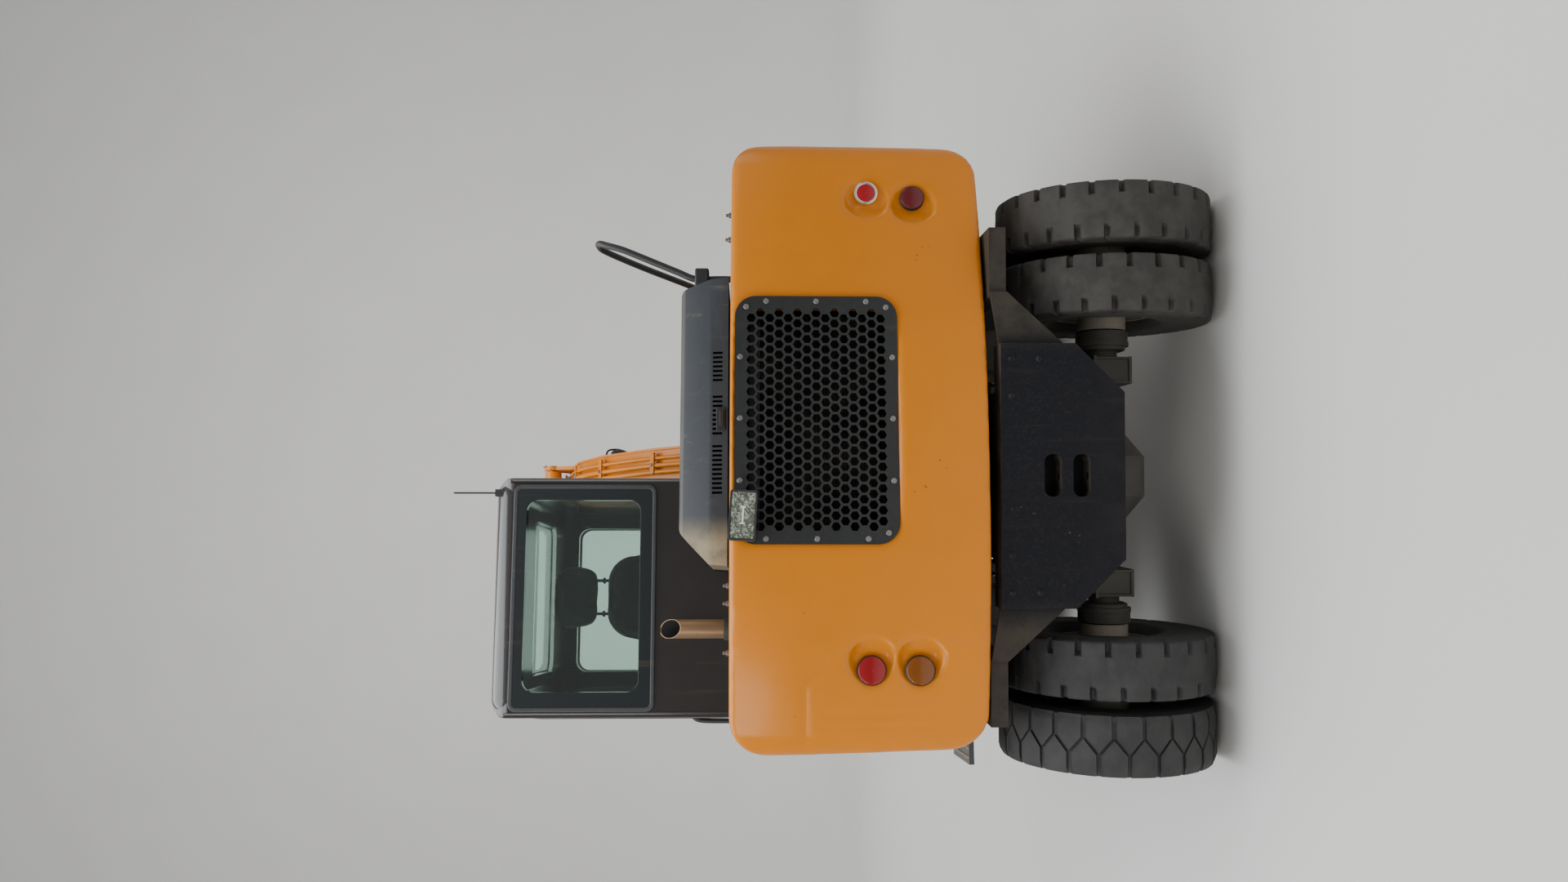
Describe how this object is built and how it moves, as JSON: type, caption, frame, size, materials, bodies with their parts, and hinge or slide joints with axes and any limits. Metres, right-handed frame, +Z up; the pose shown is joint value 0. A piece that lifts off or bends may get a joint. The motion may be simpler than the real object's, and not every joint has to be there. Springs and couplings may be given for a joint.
{
  "type": "wheeled excavator",
  "caption": "Compact wheeled excavator with twin tyres, a glazed cab, a swinging upper structure, boom, arm, bucket and dozer blade.",
  "frame": {"origin": "middle of the whole outline, on the ground", "axes": "+Y forward along the chassis, +X to the right, +Z up"},
  "size_m": [2.5512, 5.6293, 3.3913],
  "materials": {
    "orange_paint": "gloss",
    "grey_paint": "satin",
    "cab_paint": "gloss",
    "chassis_paint": "satin",
    "cast_parts": "dusty",
    "rim_paint": "dusty",
    "tyre": "worn",
    "bright_steel": "satin",
    "chrome_rod": "polished",
    "tinted_glass": "clear",
    "seat_cloth": "woven",
    "dark_plastic": "grained",
    "lamp_lens": "clear"
  },
  "bodies": {
    "chassis": {"chassis": "chassis_paint", "end_box": "chassis_paint", "axle_rear": "cast_parts", "axle_front": "cast_parts", "driveline": "cast_parts", "ring_lower": "bright_steel", "step_boxes": "grey_paint"},
    "wheel_rear_left": {"tyres_rear_left": "tyre", "rims_rear_left": "rim_paint"},
    "wheel_rear_right": {"tyres_rear_right": "tyre", "rims_rear_right": "rim_paint"},
    "knuckle_left": {"knuckle_left": "cast_parts"},
    "knuckle_right": {"knuckle_right": "cast_parts"},
    "tie_rod": {"tie_rod": "bright_steel"},
    "wheel_front_left": {"tyres_front_left": "tyre", "rims_front_left": "rim_paint"},
    "wheel_front_right": {"tyres_front_right": "tyre", "rims_front_right": "rim_paint"},
    "blade": {"blade": "orange_paint"},
    "blade_barrel": {"blade_barrel": "orange_paint"},
    "blade_rod": {"blade_rod": "chrome_rod"},
    "upper": {"deck": "grey_paint", "ring_upper": "bright_steel", "counterweight": "orange_paint", "grille": "grey_paint", "house": "grey_paint", "engine": "cast_parts", "tank_box": "orange_paint", "cab_shell": "cab_paint", "cab_glass": "tinted_glass", "seat": "seat_cloth", "console": "dark_plastic", "exhaust": "bright_steel", "handrail": "grey_paint", "aerial": "dark_plastic", "side_step": "grey_paint", "lamps": "lamp_lens"},
    "hood": {"hood": "grey_paint"},
    "side_door_left": {"side_door_left": "orange_paint"},
    "side_door_right": {"side_door_right": "orange_paint"},
    "cab_door": {"cab_door": "cab_paint", "door_glass": "tinted_glass"},
    "boom": {"boom": "orange_paint"},
    "boom_barrel": {"boom_barrel": "orange_paint"},
    "boom_rod": {"boom_rod": "chrome_rod"},
    "arm": {"arm": "orange_paint"},
    "arm_barrel": {"arm_barrel": "orange_paint"},
    "arm_rod": {"arm_rod": "chrome_rod"},
    "bucket": {"bucket": "cast_parts"},
    "bucket_barrel": {"bucket_barrel": "orange_paint"},
    "bucket_rod": {"bucket_rod": "chrome_rod"},
    "rocker": {"rocker": "cast_parts"},
    "link": {"link": "cast_parts"}
  },
  "joints": [
    {"name": "wheel_rear_left_spin", "type": "hinge", "parent": "chassis", "child": "wheel_rear_left", "pos_m": [-1.09496, -2.26524, 0.4325], "axis": [1, 0, 0], "continuous": true},
    {"name": "wheel_rear_right_spin", "type": "hinge", "parent": "chassis", "child": "wheel_rear_right", "pos_m": [0.93904, -2.26524, 0.4325], "axis": [1, 0, 0], "continuous": true},
    {"name": "steer_left", "type": "hinge", "parent": "chassis", "child": "knuckle_left", "pos_m": [-0.62296, 0.13476, 0.4325], "axis": [0, 0, 1], "range_deg": [-25, 25]},
    {"name": "steer_right", "type": "hinge", "parent": "chassis", "child": "knuckle_right", "pos_m": [0.46704, 0.13476, 0.4325], "axis": [0, 0, 1], "range_deg": [-25.2, 25.2]},
    {"name": "tie_rod_slide", "type": "slide", "parent": "chassis", "child": "tie_rod", "axis": [1, 0, 0], "range_m": [-0.0885, 0.0885]},
    {"name": "wheel_front_left_spin", "type": "hinge", "parent": "knuckle_left", "child": "wheel_front_left", "pos_m": [-1.09496, 0.13476, 0.4325], "axis": [1, 0, 0], "continuous": true},
    {"name": "wheel_front_right_spin", "type": "hinge", "parent": "knuckle_right", "child": "wheel_front_right", "pos_m": [0.93904, 0.13476, 0.4325], "axis": [1, 0, 0], "continuous": true},
    {"name": "blade_lift", "type": "hinge", "parent": "chassis", "child": "blade", "pos_m": [-0.07796, 0.38476, 0.59], "axis": [1, 0, 0], "range_deg": [-16, 12]},
    {"name": "blade_barrel_turn", "type": "hinge", "parent": "chassis", "child": "blade_barrel", "pos_m": [-0.07796, 0.38476, 0.875], "axis": [1, 0, 0], "range_deg": [-9.91, 7.44]},
    {"name": "blade_rod_slide", "type": "slide", "parent": "blade_barrel", "child": "blade_rod", "axis": [0, 0.8267, -0.5626], "range_m": [-0.04927, 0.06567]},
    {"name": "swing", "type": "hinge", "parent": "chassis", "child": "upper", "pos_m": [-0.07796, -1.11524, 1.035], "axis": [0, 0, 1], "continuous": true},
    {"name": "hood_lift", "type": "hinge", "parent": "upper", "child": "hood", "pos_m": [0.07958, -1.99135, 2.149], "axis": [-0.9942, -0.108, 0], "range_deg": [0, 55]},
    {"name": "side_door_left_swing", "type": "hinge", "parent": "upper", "child": "side_door_left", "pos_m": [-1.08129, -2.13406, 1.5], "axis": [0, 0, -1], "range_deg": [0, 85]},
    {"name": "side_door_right_swing", "type": "hinge", "parent": "upper", "child": "side_door_right", "pos_m": [1.06351, -1.36794, 1.5], "axis": [0, 0, 1], "range_deg": [0, 85]},
    {"name": "cab_door_swing", "type": "hinge", "parent": "upper", "child": "cab_door", "pos_m": [-1.171, -1.56291, 2], "axis": [0, 0, 1], "range_deg": [0, 110]},
    {"name": "boom_lift", "type": "hinge", "parent": "upper", "child": "boom", "pos_m": [0.04417, -0.8505, 1.5], "axis": [0.9942, 0.108, 0], "range_deg": [-52, 18]},
    {"name": "boom_barrel_turn", "type": "hinge", "parent": "upper", "child": "boom_barrel", "pos_m": [0.00097, -0.45284, 1.1], "axis": [0.9942, 0.108, 0], "range_deg": [-53.17, 18.41]},
    {"name": "boom_rod_slide", "type": "slide", "parent": "boom_barrel", "child": "boom_rod", "axis": [-0.0546, 0.503, 0.8626], "range_m": [-0.48186, 0.16686]},
    {"name": "arm_fold", "type": "hinge", "parent": "boom", "child": "arm", "pos_m": [-0.31102, 2.41903, 2.96425], "axis": [-0.9942, -0.108, 0], "range_deg": [-90, 10]},
    {"name": "arm_barrel_turn", "type": "hinge", "parent": "boom", "child": "arm_barrel", "pos_m": [-0.0895, 0.3799, 3.14567], "axis": [0.9942, 0.108, 0], "range_deg": [-0.2063, 0.0318]},
    {"name": "arm_rod_slide", "type": "slide", "parent": "arm_barrel", "child": "arm_rod", "axis": [-0.1076, 0.9909, 0.0804], "range_m": [-0.61557, 0.06849]},
    {"name": "bucket_curl", "type": "hinge", "parent": "arm", "child": "bucket", "pos_m": [-0.29821, 2.30113, 1.26839], "axis": [-0.9942, -0.108, 0], "range_deg": [-114, 8]},
    {"name": "bucket_barrel_turn", "type": "hinge", "parent": "arm", "child": "bucket_barrel", "pos_m": [-0.34752, 2.75504, 2.78023], "axis": [0.9942, 0.108, 0], "range_deg": [-0.057, 0.6797]},
    {"name": "bucket_rod_slide", "type": "slide", "parent": "bucket_barrel", "child": "bucket_rod", "axis": [0.02, -0.1842, -0.9827], "range_m": [-0.5, 0.03518]},
    {"name": "rocker_turn", "type": "hinge", "parent": "arm", "child": "rocker", "pos_m": [-0.30047, 2.32194, 1.56766], "axis": [-0.9942, -0.108, 0], "range_deg": [-114.2, 8.2]},
    {"name": "link_turn", "type": "hinge", "parent": "rocker", "child": "link", "pos_m": [-0.31764, 2.47998, 1.31325], "axis": [0.9942, 0.108, 0], "range_deg": [-114.2, 8.2]}
  ],
  "couplings": [
    {"joint": "steer_right", "follows": "steer_left", "ratio": 1},
    {"joint": "tie_rod_slide", "follows": "steer_left", "m_per_rad": 0.195},
    {"joint": "blade_barrel_turn", "follows": "blade_lift", "ratio": 0.61647},
    {"joint": "blade_rod_slide", "follows": "blade_lift", "m_per_rad": -0.23386},
    {"joint": "boom_barrel_turn", "follows": "boom_lift", "ratio": 1.0183},
    {"joint": "boom_rod_slide", "follows": "boom_lift", "m_per_rad": 0.52871},
    {"joint": "arm_barrel_turn", "follows": "arm_fold", "ratio": 0.002172},
    {"joint": "arm_rod_slide", "follows": "arm_fold", "m_per_rad": 0.39026},
    {"joint": "bucket_barrel_turn", "follows": "bucket_curl", "ratio": -0.0058511},
    {"joint": "bucket_rod_slide", "follows": "bucket_curl", "m_per_rad": 0.25024},
    {"joint": "rocker_turn", "follows": "bucket_curl", "ratio": 1},
    {"joint": "link_turn", "follows": "bucket_curl", "ratio": 1}
  ]
}
